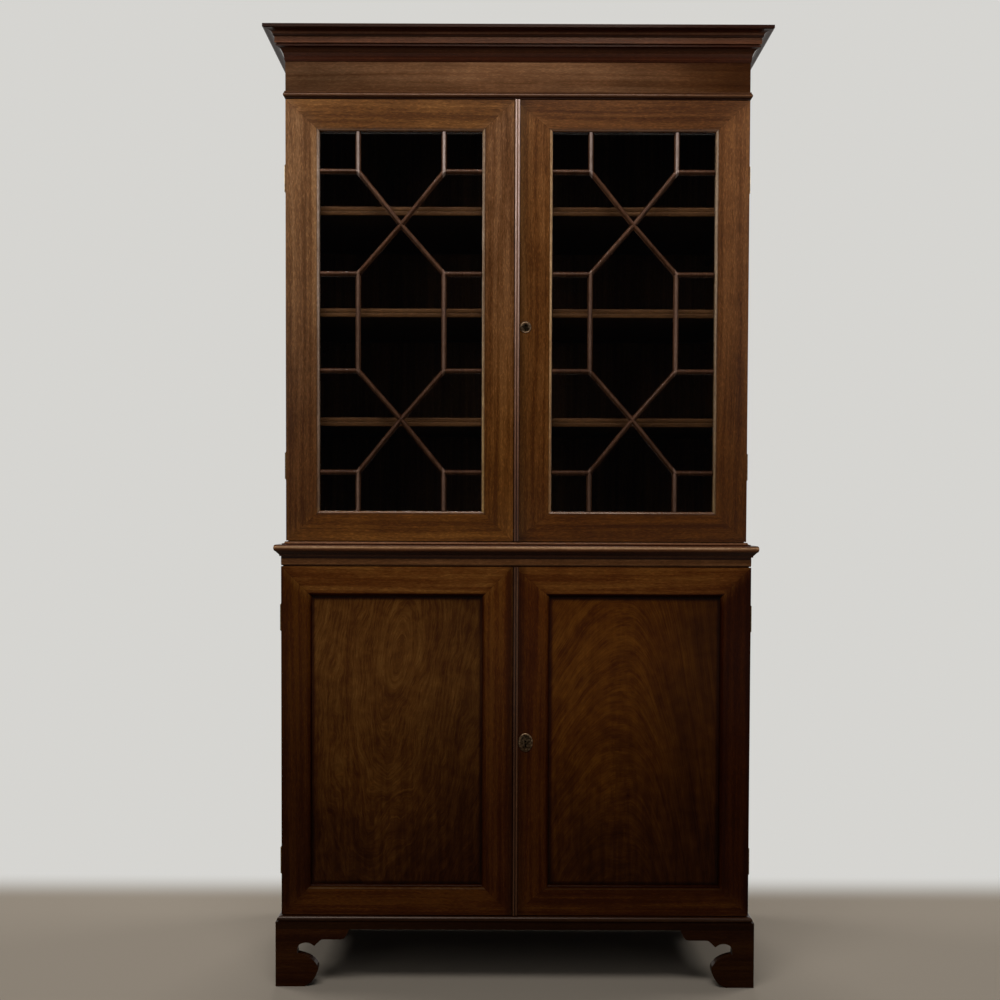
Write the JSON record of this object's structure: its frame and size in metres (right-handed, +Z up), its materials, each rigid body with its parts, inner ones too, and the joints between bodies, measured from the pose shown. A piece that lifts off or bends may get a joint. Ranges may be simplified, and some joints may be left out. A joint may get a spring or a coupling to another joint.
{
  "type": "glazed bookcase on cupboard",
  "caption": "Tall two-stage bookcase: a moulded cornice over a pair of bar-glazed doors and shelves, standing on a cupboard with panelled doors and bracket feet.",
  "frame": {"origin": "middle of the footprint's bounding box, on the floor", "axes": "+Z up, front doors face -Y, +X to the right seen from the front"},
  "size_m": [1.168, 0.474, 2.2285],
  "materials": {
    "frame_wood": "french-polished mahogany, ribbon figure",
    "case_wood": "french-polished mahogany",
    "moulding_wood": "polished mahogany moulding",
    "panel_wood": "polished flame mahogany veneer",
    "inner_wood": "thinly polished interior wood",
    "back_wood": "unpolished softwood boards, aged",
    "glass": "thin clear sheet, slightly uneven",
    "brass": "aged lacquered brass",
    "bolt_brass": "rubbed brass"
  },
  "bodies": {
    "case": {"frieze": "frame_wood", "upper_side_left": "case_wood", "upper_side_right": "case_wood", "lower_side_left": "case_wood", "lower_side_right": "case_wood", "plinth_rail": "case_wood", "foot_front_left": "case_wood", "foot_front_right": "case_wood", "foot_back_left": "case_wood", "foot_back_right": "case_wood", "cornice": "moulding_wood", "frieze_bead": "moulding_wood", "waist_moulding": "moulding_wood", "plinth_moulding": "moulding_wood", "lower_top_board": "moulding_wood", "upper_bottom_board": "inner_wood", "upper_top_board": "inner_wood", "shelf_low": "inner_wood", "shelf_middle": "inner_wood", "shelf_high": "inner_wood", "lower_bottom_board": "inner_wood", "lower_shelf": "inner_wood", "upper_back": "back_wood", "lower_back": "back_wood", "upper_door_left_hinge_bottom_case_leaf": "brass", "upper_door_left_hinge_top_case_leaf": "brass", "upper_door_right_hinge_bottom_case_leaf": "brass", "upper_door_right_hinge_top_case_leaf": "brass", "lower_door_left_hinge_bottom_case_leaf": "brass", "lower_door_left_hinge_top_case_leaf": "brass", "lower_door_right_hinge_bottom_case_leaf": "brass", "lower_door_right_hinge_top_case_leaf": "brass"},
    "upper_door_left": {"upper_door_left_frame": "frame_wood", "upper_door_left_glazing_bars": "moulding_wood", "upper_door_left_glass": "glass", "upper_door_left_hinge_bottom_door_leaf": "brass", "upper_door_left_hinge_top_door_leaf": "brass"},
    "upper_door_right": {"upper_door_right_frame": "frame_wood", "upper_door_right_glazing_bars": "moulding_wood", "upper_door_right_meeting_bead": "moulding_wood", "upper_door_right_glass": "glass", "upper_door_right_hinge_bottom_door_leaf": "brass", "upper_door_right_hinge_top_door_leaf": "brass", "upper_door_right_escutcheon": "brass", "upper_door_right_lock": "brass"},
    "lower_door_left": {"lower_door_left_frame": "frame_wood", "lower_door_left_panel": "panel_wood", "lower_door_left_hinge_bottom_door_leaf": "brass", "lower_door_left_hinge_top_door_leaf": "brass"},
    "lower_door_right": {"lower_door_right_frame": "frame_wood", "lower_door_right_meeting_bead": "moulding_wood", "lower_door_right_panel": "panel_wood", "lower_door_right_hinge_bottom_door_leaf": "brass", "lower_door_right_hinge_top_door_leaf": "brass", "lower_door_right_escutcheon": "brass", "lower_door_right_lock": "brass"},
    "upper_lock_bolt": {"upper_door_right_lock_bolt": "bolt_brass"},
    "lower_lock_bolt": {"lower_door_right_lock_bolt": "bolt_brass"},
    "upper_flush_bolt": {"upper_door_left_flush_bolt": "bolt_brass"},
    "lower_flush_bolt": {"lower_door_left_flush_bolt": "bolt_brass"}
  },
  "joints": [
    {"name": "upper_door_left_hinge", "type": "hinge", "parent": "case", "child": "upper_door_left", "pos_m": [-0.5438, -0.1702, 1.56125], "axis": [0, 0, -1], "range_deg": [0, 180]},
    {"name": "upper_door_right_hinge", "type": "hinge", "parent": "case", "child": "upper_door_right", "pos_m": [0.5438, -0.1702, 1.56125], "axis": [0, 0, 1], "range_deg": [0, 180]},
    {"name": "lower_door_left_hinge", "type": "hinge", "parent": "case", "child": "lower_door_left", "pos_m": [-0.5538, -0.1802, 0.5775], "axis": [0, 0, -1], "range_deg": [0, 180]},
    {"name": "lower_door_right_hinge", "type": "hinge", "parent": "case", "child": "lower_door_right", "pos_m": [0.5538, -0.1802, 0.5775], "axis": [0, 0, 1], "range_deg": [0, 180]},
    {"name": "upper_lock_bolt_slide", "type": "slide", "parent": "upper_door_right", "child": "upper_lock_bolt", "axis": [-1, 0, 0], "range_m": [0, 0.009]},
    {"name": "lower_lock_bolt_slide", "type": "slide", "parent": "lower_door_right", "child": "lower_lock_bolt", "axis": [-1, 0, 0], "range_m": [0, 0.009]},
    {"name": "upper_flush_bolt_slide", "type": "slide", "parent": "upper_door_left", "child": "upper_flush_bolt", "axis": [0, 0, 1], "range_m": [0, 0.01]},
    {"name": "lower_flush_bolt_slide", "type": "slide", "parent": "lower_door_left", "child": "lower_flush_bolt", "axis": [0, 0, 1], "range_m": [0, 0.01]}
  ]
}
